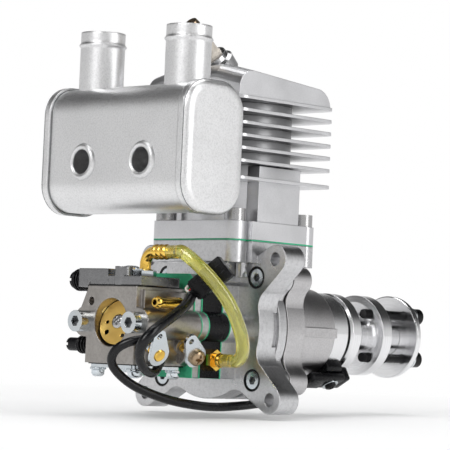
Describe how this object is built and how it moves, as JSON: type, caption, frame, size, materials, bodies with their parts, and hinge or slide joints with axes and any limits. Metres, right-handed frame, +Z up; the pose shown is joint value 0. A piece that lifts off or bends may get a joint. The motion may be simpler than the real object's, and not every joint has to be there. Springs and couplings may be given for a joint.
{
  "type": "model aircraft petrol engine",
  "caption": "Single-cylinder two-stroke aircraft engine with finned cylinder, box muffler with twin outlets, rear diaphragm carburettor and clamp hub for a propeller.",
  "frame": {"origin": "on the crankshaft axis, in the rear plane of the four mounting lugs", "axes": "+Y forward along the crankshaft to the propeller, +Z up along the cylinder, +X to the side of the fuel inlet and the control levers"},
  "size_m": [0.0848, 0.1865, 0.1591],
  "materials": {
    "cast_aluminium": "satin casting",
    "blasted_aluminium": "bead blasted",
    "machined_aluminium": "bright turned",
    "carb_alloy": "grey die casting",
    "zinc": "bright zinc plated",
    "steel": "ground",
    "black_steel": "black oxide",
    "brass": "bright",
    "copper": "dull",
    "ceramic": "glazed",
    "black_plastic": "moulded",
    "black_rubber": "satin",
    "black_gasket": "matt",
    "green_gasket": "matt",
    "yellow_hose": "translucent"
  },
  "bodies": {
    "engine": {"crankcase": "cast_aluminium", "front_housing": "cast_aluminium", "housing_gasket": "black_gasket", "case_screws": "zinc", "cylinder_block": "cast_aluminium", "base_gasket": "green_gasket", "base_screws": "steel", "plug_shell": "steel", "plug_insulator": "ceramic", "plug_terminal": "steel", "plug_washer": "copper", "exhaust_gasket": "black_gasket", "exhaust_screws": "steel", "muffler_shell": "blasted_aluminium", "muffler_caps": "blasted_aluminium", "muffler_flange": "blasted_aluminium", "outlet_tubes": "blasted_aluminium", "access_tubes": "blasted_aluminium", "intake_gaskets": "green_gasket", "adapter_plate": "machined_aluminium", "reed_block": "black_plastic", "reed_petals": "steel", "reed_screws": "steel", "carb_body": "carb_alloy", "carb_screws": "zinc", "pump_cover": "carb_alloy", "pump_screw": "zinc", "carb_diaphragms": "black_rubber", "metering_cover": "zinc", "metering_screws": "zinc", "adjuster_springs": "steel", "fuel_elbow": "brass", "pulse_elbow": "brass", "pulse_nipple": "brass", "pulse_hose": "yellow_hose", "shaft_bearings": "steel", "shaft_seal": "black_rubber", "sensor": "black_plastic", "sensor_holder": "black_plastic", "sensor_cable": "black_rubber", "cable_connector": "black_plastic"},
    "crank": {"crankshaft": "steel", "prop_hub": "machined_aluminium", "hub_magnet": "steel", "front_washer": "machined_aluminium", "prop_bolts": "black_steel"},
    "piston_group": {"piston": "machined_aluminium", "piston_rings": "steel", "wrist_pin": "steel", "connecting_rod": "steel", "rod_bearings": "steel", "crankpin": "steel"},
    "choke": {"choke_shaft": "zinc", "choke_plate": "brass", "choke_screw": "zinc"},
    "throttle": {"throttle_shaft": "zinc", "throttle_plate": "brass", "throttle_screws": "zinc"},
    "idle_adjuster": {"idle_screw": "black_plastic"},
    "mixture_adjuster": {"mixture_screw": "black_plastic"}
  },
  "joints": [
    {"name": "crank_spin", "type": "hinge", "parent": "engine", "child": "crank", "pos_m": [0, 0.03, 0], "axis": [0, 1, 0], "continuous": true},
    {"name": "piston_travel", "type": "slide", "parent": "engine", "child": "piston_group", "axis": [0, 0, 1], "range_m": [-0.0285, 0]},
    {"name": "choke_turn", "type": "hinge", "parent": "engine", "child": "choke", "pos_m": [0, -0.0488, 0], "axis": [0.8829, 0, -0.4695], "range_deg": [-60, 0]},
    {"name": "throttle_turn", "type": "hinge", "parent": "engine", "child": "throttle", "pos_m": [0, -0.0288, 0], "axis": [0.8829, 0, -0.4695], "range_deg": [-65, 0], "stiffness_Nm_per_rad": 0.006},
    {"name": "idle_turn", "type": "hinge", "parent": "engine", "child": "idle_adjuster", "pos_m": [-0.021, -0.043, 0.0168], "axis": [1, 0, 0], "range_deg": [-720, 720]},
    {"name": "mixture_turn", "type": "hinge", "parent": "engine", "child": "mixture_adjuster", "pos_m": [-0.014, -0.0445, -0.0092], "axis": [1, 0, 0], "range_deg": [-540, 540]}
  ]
}
